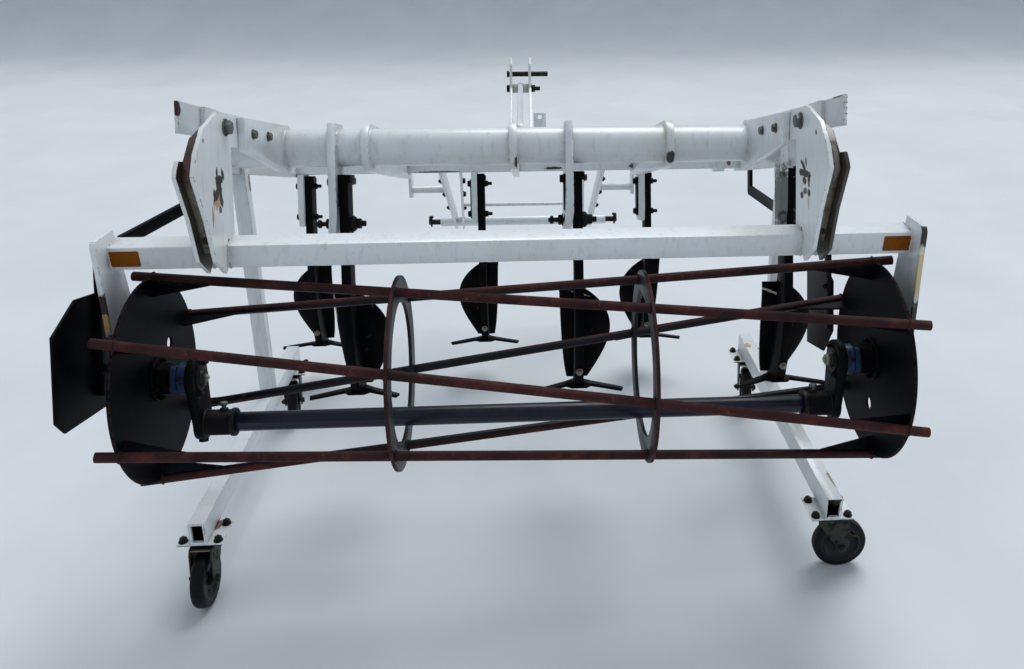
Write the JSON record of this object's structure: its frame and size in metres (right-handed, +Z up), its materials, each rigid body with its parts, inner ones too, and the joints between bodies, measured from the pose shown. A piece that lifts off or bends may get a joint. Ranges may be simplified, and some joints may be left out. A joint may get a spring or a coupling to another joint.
{
  "type": "stubble cultivator",
  "caption": "Mounted stubble cultivator with two rows of mouldboard tines and a twisted cage roller, tipped nose down on a wheeled stand.",
  "frame": {"origin": "on the ground under the middle of the whole machine on its stand", "axes": "+X to the machine's right, +Y forward to the tractor, +Z up from the ground"},
  "size_m": [1.912, 1.8879, 1.2239],
  "materials": {
    "white_paint": "gloss",
    "black_paint": "satin",
    "rusty_rod": "matte",
    "navy_paint": "satin",
    "blue_paint": "satin",
    "pin_steel": "satin",
    "zinc_plate": "satin",
    "castor_rim": "matte",
    "castor_tyre": "matte"
  },
  "bodies": {
    "frame": {"main_pipe": "white_paint", "front_beam": "white_paint", "link_plates": "white_paint", "side_plates": "white_paint", "arm_brackets": "white_paint", "arms": "white_paint", "rear_tube": "white_paint", "end_plates": "white_paint", "mast_plates": "white_paint", "mast_stay": "white_paint", "hitch_cheeks": "white_paint", "lower_hitch_bar": "white_paint", "hitch_side_tubes": "white_paint", "front_hangers": "white_paint", "rear_hangers": "white_paint", "stand_rails": "white_paint", "stand_posts": "white_paint", "shanks": "black_paint", "mouldboards": "black_paint", "shares": "black_paint", "guard_bars": "black_paint", "guard_plates": "black_paint", "crank_plates": "black_paint", "inner_beam": "navy_paint", "bearing_units": "blue_paint", "stub_axles": "pin_steel", "mast_pins": "pin_steel", "lower_hitch_pins": "pin_steel", "castor_plates": "zinc_plate"},
    "roller": {"roller_discs": "black_paint", "roller_rings": "black_paint", "roller_rods": "rusty_rod", "roller_gussets": "black_paint"},
    "fork_rear_left": {"castor_fork_rear_left": "zinc_plate"},
    "wheel_rear_left": {"castor_rim_rear_left": "castor_rim", "castor_tyre_rear_left": "castor_tyre"},
    "fork_rear_right": {"castor_fork_rear_right": "zinc_plate"},
    "wheel_rear_right": {"castor_rim_rear_right": "castor_rim", "castor_tyre_rear_right": "castor_tyre"},
    "fork_front_left": {"castor_fork_front_left": "zinc_plate"},
    "wheel_front_left": {"castor_rim_front_left": "castor_rim", "castor_tyre_front_left": "castor_tyre"},
    "fork_front_right": {"castor_fork_front_right": "zinc_plate"},
    "wheel_front_right": {"castor_rim_front_right": "castor_rim", "castor_tyre_front_right": "castor_tyre"}
  },
  "joints": [
    {"name": "roller_spin", "type": "hinge", "parent": "frame", "child": "roller", "pos_m": [0, -0.7012, 0.61813], "axis": [1, 0, 0], "continuous": true},
    {"name": "swivel_rear_left", "type": "hinge", "parent": "frame", "child": "fork_rear_left", "pos_m": [-0.801, -0.6822, 0.155], "axis": [0, 0, 1], "continuous": true},
    {"name": "wheel_spin_rear_left", "type": "hinge", "parent": "fork_rear_left", "child": "wheel_rear_left", "pos_m": [-0.801, -0.7222, 0.07], "axis": [-1, 0, 0], "continuous": true},
    {"name": "swivel_rear_right", "type": "hinge", "parent": "frame", "child": "fork_rear_right", "pos_m": [0.781, -0.6822, 0.155], "axis": [0, 0, 1], "continuous": true},
    {"name": "wheel_spin_rear_right", "type": "hinge", "parent": "fork_rear_right", "child": "wheel_rear_right", "pos_m": [0.821, -0.6822, 0.07], "axis": [0, -1, 0], "continuous": true},
    {"name": "swivel_front_left", "type": "hinge", "parent": "frame", "child": "fork_front_left", "pos_m": [-0.801, 0.1758, 0.155], "axis": [0, 0, 1], "continuous": true},
    {"name": "wheel_spin_front_left", "type": "hinge", "parent": "fork_front_left", "child": "wheel_front_left", "pos_m": [-0.79405, 0.13641, 0.07], "axis": [-0.9848, -0.1736, 0], "continuous": true},
    {"name": "swivel_front_right", "type": "hinge", "parent": "frame", "child": "fork_front_right", "pos_m": [0.781, 0.1758, 0.155], "axis": [0, 0, 1], "continuous": true},
    {"name": "wheel_spin_front_right", "type": "hinge", "parent": "fork_front_right", "child": "wheel_front_right", "pos_m": [0.77405, 0.13641, 0.07], "axis": [-0.9848, 0.1736, 0], "continuous": true}
  ]
}
